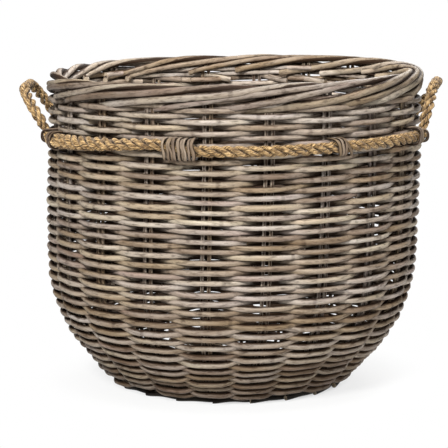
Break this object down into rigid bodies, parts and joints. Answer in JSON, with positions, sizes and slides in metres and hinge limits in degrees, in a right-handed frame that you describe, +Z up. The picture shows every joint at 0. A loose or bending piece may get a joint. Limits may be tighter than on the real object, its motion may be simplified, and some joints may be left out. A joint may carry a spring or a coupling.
{
  "type": "woven laundry basket",
  "caption": "Round woven rattan laundry basket with a rolled border, a rope belt lashed round the wall and two swinging rope loop handles.",
  "frame": {"origin": "centre of the base on the plane it stands on", "axes": "+Z up along the basket's axis, -Y towards the front, the handles at -X and +X"},
  "size_m": [0.6772, 0.6342, 0.5076],
  "materials": {
    "woven_rattan": "satin",
    "thick_rattan": "satin",
    "rattan_rod": "satin",
    "split_rattan": "satin",
    "manila_rope": "matte"
  },
  "bodies": {
    "basket": {"base_binding": "woven_rattan", "base_sticks": "rattan_rod", "base_weave": "woven_rattan", "border_strands_01": "thick_rattan", "border_strands_02": "thick_rattan", "border_strands_03": "thick_rattan", "border_strands_04": "thick_rattan", "border_strands_05": "thick_rattan", "border_strands_06": "thick_rattan", "border_strands_07": "thick_rattan", "border_strands_08": "thick_rattan", "border_strands_09": "thick_rattan", "border_strands_10": "thick_rattan", "foot_border": "woven_rattan", "lashing_back_left": "split_rattan", "lashing_back_right": "split_rattan", "lashing_front_left": "split_rattan", "lashing_front_right": "split_rattan", "lashing_handle_left_back": "split_rattan", "lashing_handle_left_front": "split_rattan", "lashing_handle_right_back": "split_rattan", "lashing_handle_right_front": "split_rattan", "rope_belt_back": "manila_rope", "rope_belt_front": "manila_rope", "stake_pair_01": "rattan_rod", "stake_pair_02": "rattan_rod", "stake_pair_03": "rattan_rod", "stake_pair_04": "rattan_rod", "stake_pair_05": "rattan_rod", "stake_pair_06": "rattan_rod", "stake_pair_07": "rattan_rod", "stake_pair_08": "rattan_rod", "stake_pair_09": "rattan_rod", "stake_pair_10": "rattan_rod", "stake_pair_11": "rattan_rod", "stake_pair_12": "rattan_rod", "stake_pair_13": "rattan_rod", "stake_pair_14": "rattan_rod", "stake_pair_15": "rattan_rod", "stake_pair_16": "rattan_rod", "stake_pair_17": "rattan_rod", "stake_pair_18": "rattan_rod", "stake_pair_19": "rattan_rod", "stake_pair_20": "rattan_rod", "weave_band_01": "woven_rattan", "weave_band_02": "woven_rattan", "weave_band_03": "woven_rattan", "weave_band_04": "woven_rattan", "weave_band_05": "woven_rattan", "weave_band_06": "woven_rattan", "weave_band_07": "woven_rattan", "weave_band_08": "woven_rattan", "weave_band_09": "woven_rattan", "weave_band_10": "woven_rattan", "weave_band_11": "woven_rattan"},
    "left_handle": {"rope_handle_left": "manila_rope"},
    "right_handle": {"rope_handle_right": "manila_rope"}
  },
  "joints": [
    {"name": "left_handle_swing", "type": "hinge", "parent": "basket", "child": "left_handle", "pos_m": [-0.2906, 0, 0.409], "axis": [0, -1, 0], "range_deg": [-14, 60]},
    {"name": "right_handle_swing", "type": "hinge", "parent": "basket", "child": "right_handle", "pos_m": [0.2906, 0, 0.409], "axis": [0, 1, 0], "range_deg": [-5, 69]}
  ]
}
